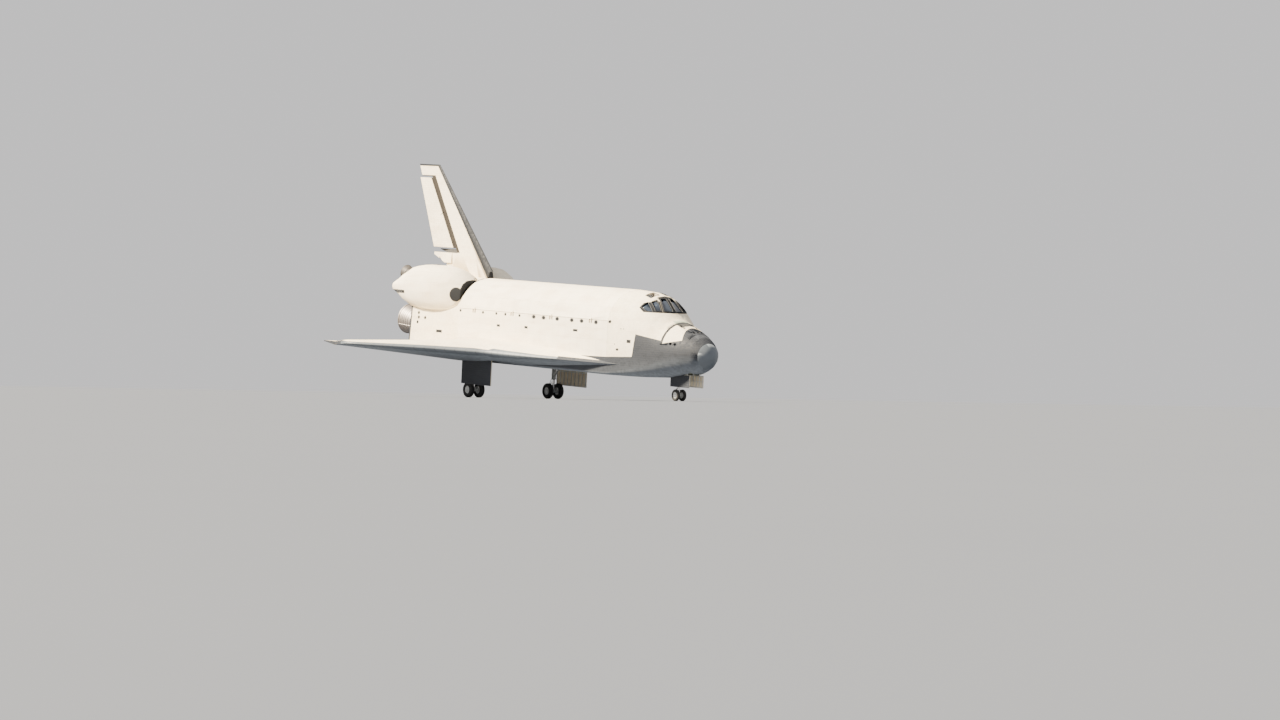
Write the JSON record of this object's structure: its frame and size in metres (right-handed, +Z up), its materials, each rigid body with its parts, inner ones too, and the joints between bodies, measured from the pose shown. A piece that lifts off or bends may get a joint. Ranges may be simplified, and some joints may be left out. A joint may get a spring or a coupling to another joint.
{
  "type": "winged space shuttle orbiter parked on its landing gear",
  "caption": "Winged reusable spacecraft on its landing gear: crew cabin, payload bay under opening doors, delta wings with elevons, split rudder, engines.",
  "frame": {"origin": "on the ground, at the middle of the length and on the centre plane", "axes": "+X forward to the nose, +Y to the left (port), +Z up"},
  "size_m": [36.5306, 23.7744, 17.2578],
  "materials": {
    "white_tile": "matt warm white tiles with faint stains",
    "white_blanket": "matt quilted white blanket",
    "black_tile": "dark satin tiles, weathered grey",
    "carbon": "grey reinforced carbon",
    "window_glass": "clear dark glass",
    "bare_metal": "machined metal",
    "bell_metal": "heat-stained metal",
    "radiator_silver": "silvered radiator film",
    "tyre_rubber": "worn black rubber",
    "gear_metal": "white enamel on steel",
    "cabin_grey": "matt grey-green paint"
  },
  "bodies": {
    "airframe": {"nose_cap": "carbon", "forward_thruster_module": "white_tile", "forward_fuselage": "white_tile", "window_panes": "window_glass", "cabin_aft_bulkhead": "cabin_grey", "flight_deck": "cabin_grey", "crew_seat_left": "cabin_grey", "crew_seat_right": "cabin_grey", "mid_fuselage": "white_blanket", "aft_fuselage": "white_tile", "base_heat_shield": "black_tile", "vertical_fin": "white_tile", "wing_left": "white_tile", "wing_right": "white_tile", "wing_leading_edge_left": "carbon", "wing_leading_edge_right": "carbon", "oms_pod_left": "white_blanket", "oms_pod_right": "white_blanket", "oms_nozzle_left": "bell_metal", "oms_nozzle_right": "bell_metal", "nose_gear_strut": "gear_metal", "nose_gear_door_left": "black_tile", "nose_gear_door_right": "black_tile", "main_gear_strut_left": "gear_metal", "main_gear_strut_right": "gear_metal", "main_gear_door_left": "black_tile", "main_gear_door_right": "black_tile"},
    "bay_door_left": {"payload_door_left": "white_blanket", "radiator_left": "radiator_silver"},
    "bay_door_right": {"payload_door_right": "white_blanket", "radiator_right": "radiator_silver"},
    "hatch": {"crew_hatch": "white_tile"},
    "inboard_elevon_left": {"elevon_inboard_left": "white_tile"},
    "inboard_elevon_right": {"elevon_inboard_right": "white_tile"},
    "outboard_elevon_left": {"elevon_outboard_left": "white_tile"},
    "outboard_elevon_right": {"elevon_outboard_right": "white_tile"},
    "flap": {"body_flap": "black_tile"},
    "rudder_drive": {"rudder_shaft": "bare_metal"},
    "rudder_half_left": {"rudder_left": "white_tile"},
    "rudder_half_right": {"rudder_right": "white_tile"},
    "engine_centre": {"main_engine_centre": "bell_metal"},
    "engine_left": {"main_engine_left": "bell_metal"},
    "engine_right": {"main_engine_right": "bell_metal"},
    "nose_steering": {"nose_gear_steering": "gear_metal"},
    "nose_wheels": {"nose_gear_hubs": "gear_metal", "nose_tyre_left": "tyre_rubber", "nose_tyre_right": "tyre_rubber"},
    "main_wheels_left": {"main_gear_hubs_left": "gear_metal", "main_tyre_inner_left": "tyre_rubber", "main_tyre_outer_left": "tyre_rubber"},
    "main_wheels_right": {"main_gear_hubs_right": "gear_metal", "main_tyre_inner_right": "tyre_rubber", "main_tyre_outer_right": "tyre_rubber"}
  },
  "joints": [
    {"name": "bay_door_left_hinge", "type": "hinge", "parent": "airframe", "child": "bay_door_left", "pos_m": [0.31989, 2.68986, 6.00366], "axis": [-0.9986, 0, 0.0532], "range_deg": [0, 175.5]},
    {"name": "bay_door_right_hinge", "type": "hinge", "parent": "airframe", "child": "bay_door_right", "pos_m": [0.31989, -2.68986, 6.00366], "axis": [0.9986, 0, -0.0532], "range_deg": [0, 175.5]},
    {"name": "hatch_hinge", "type": "hinge", "parent": "airframe", "child": "hatch", "pos_m": [11.73565, 2.57556, 3.04511], "axis": [-0.9986, 0, 0.0532], "range_deg": [0, 90]},
    {"name": "elevon_inboard_left_hinge", "type": "hinge", "parent": "airframe", "child": "inboard_elevon_left", "pos_m": [-11.01151, 2.4892, 3.38469], "axis": [0.002, 0.9993, 0.0378], "range_deg": [-20, 35]},
    {"name": "elevon_inboard_right_hinge", "type": "hinge", "parent": "airframe", "child": "inboard_elevon_right", "pos_m": [-11.01151, -2.4892, 3.38469], "axis": [-0.002, 0.9993, -0.0378], "range_deg": [-20, 35]},
    {"name": "elevon_outboard_left_hinge", "type": "hinge", "parent": "airframe", "child": "outboard_elevon_left", "pos_m": [-11.01151, 2.4892, 3.38469], "axis": [0.002, 0.9993, 0.0378], "range_deg": [-20, 35]},
    {"name": "elevon_outboard_right_hinge", "type": "hinge", "parent": "airframe", "child": "outboard_elevon_right", "pos_m": [-11.01151, -2.4892, 3.38469], "axis": [-0.002, 0.9993, -0.0378], "range_deg": [-20, 35]},
    {"name": "body_flap_hinge", "type": "hinge", "parent": "airframe", "child": "flap", "pos_m": [-14.94428, 0, 3.5688], "axis": [0, 1, 0], "range_deg": [-22.55, 11.7]},
    {"name": "rudder_hinge", "type": "hinge", "parent": "airframe", "child": "rudder_drive", "pos_m": [-13.26049, 0, 10.91912], "axis": [-0.5269, 0, 0.8499], "range_deg": [-27.1, 27.1]},
    {"name": "speed_brake_left_hinge", "type": "hinge", "parent": "rudder_drive", "child": "rudder_half_left", "pos_m": [-13.26049, 0, 10.91912], "axis": [0.5269, 0, -0.8499], "range_deg": [-12, 37.3]},
    {"name": "speed_brake_right_hinge", "type": "hinge", "parent": "rudder_drive", "child": "rudder_half_right", "pos_m": [-13.26049, 0, 10.91912], "axis": [-0.5269, 0, 0.8499], "range_deg": [-12, 37.3]},
    {"name": "engine_centre_gimbal", "type": "hinge", "parent": "airframe", "child": "engine_centre", "pos_m": [-12.27382, 0, 7.38181], "axis": [0, 1, 0], "range_deg": [-10.5, 10.5]},
    {"name": "engine_left_gimbal", "type": "hinge", "parent": "airframe", "child": "engine_left", "pos_m": [-12.99795, 1.3462, 4.86662], "axis": [0, 1, 0], "range_deg": [-10.5, 10.5]},
    {"name": "engine_right_gimbal", "type": "hinge", "parent": "airframe", "child": "engine_right", "pos_m": [-12.99795, -1.3462, 4.86662], "axis": [0, 1, 0], "range_deg": [-10.5, 10.5]},
    {"name": "nose_steering_pivot", "type": "hinge", "parent": "airframe", "child": "nose_steering", "pos_m": [14.54227, 0, 1.29818], "axis": [0.0532, 0, 0.9986], "range_deg": [-10, 10]},
    {"name": "nose_wheel_spin", "type": "hinge", "parent": "nose_steering", "child": "nose_wheels", "pos_m": [14.49476, 0, 0.4064], "axis": [0, 1, 0], "continuous": true},
    {"name": "main_wheel_left_spin", "type": "hinge", "parent": "airframe", "child": "main_wheels_left", "pos_m": [-5.54038, 3.4544, 0.56515], "axis": [0, 1, 0], "continuous": true},
    {"name": "main_wheel_right_spin", "type": "hinge", "parent": "airframe", "child": "main_wheels_right", "pos_m": [-5.54038, -3.4544, 0.56515], "axis": [0, 1, 0], "continuous": true}
  ]
}
